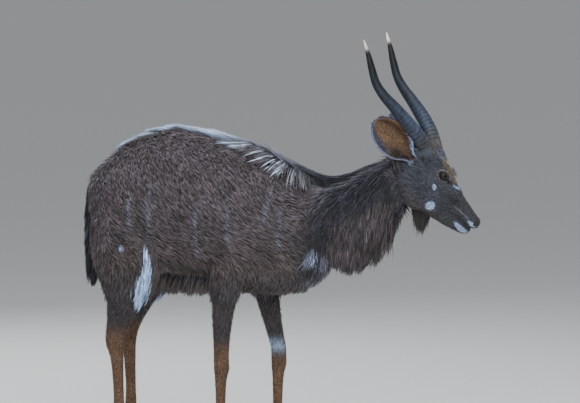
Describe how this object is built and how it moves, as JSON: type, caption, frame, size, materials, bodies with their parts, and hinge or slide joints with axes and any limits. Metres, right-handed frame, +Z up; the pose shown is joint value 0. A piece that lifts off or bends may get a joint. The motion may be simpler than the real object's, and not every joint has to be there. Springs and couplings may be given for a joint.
{
  "type": "nyala bull",
  "caption": "Life-size still model of a nyala bull that stands and browses: shaggy coat, throat mane, dorsal crest, spiral horns.",
  "frame": {"origin": "on the ground, at the middle of the model's box seen from above", "axes": "+X towards the nose along the trunk, +Y to the bull's left, +Z up"},
  "size_m": [1.4092, 0.3786, 1.4972],
  "materials": {
    "face_coat": "short grey-brown fur with white marks",
    "dark_mane": "long near-black brown hair",
    "body_coat": "shaggy slate-brown coat with faint pale stripes and a white crest",
    "leg_coat": "short fur, dark above and orange-tan below",
    "ear_coat": "thin short fur, orange-brown inside with a pale rim",
    "eye": "dark brown wet glossy eye",
    "horn": "dark ringed keratin with ivory tips",
    "hoof": "dark satin keratin"
  },
  "bodies": {
    "root": {"head": "face_coat", "neck": "dark_mane", "torso": "body_coat", "tail": "dark_mane", "leg_fore_right": "leg_coat", "leg_fore_left": "leg_coat", "leg_hind_right": "leg_coat", "leg_hind_left": "leg_coat", "ear_right": "ear_coat", "ear_left": "ear_coat", "eye_right": "eye", "eye_left": "eye", "horn_right": "horn", "horn_left": "horn", "hoof_fore_right_inner": "hoof", "hoof_fore_right_outer": "hoof", "hoof_fore_left_inner": "hoof", "hoof_fore_left_outer": "hoof", "hoof_hind_right_inner": "hoof", "hoof_hind_right_outer": "hoof", "hoof_hind_left_inner": "hoof", "hoof_hind_left_outer": "hoof"}
  },
  "joints": []
}
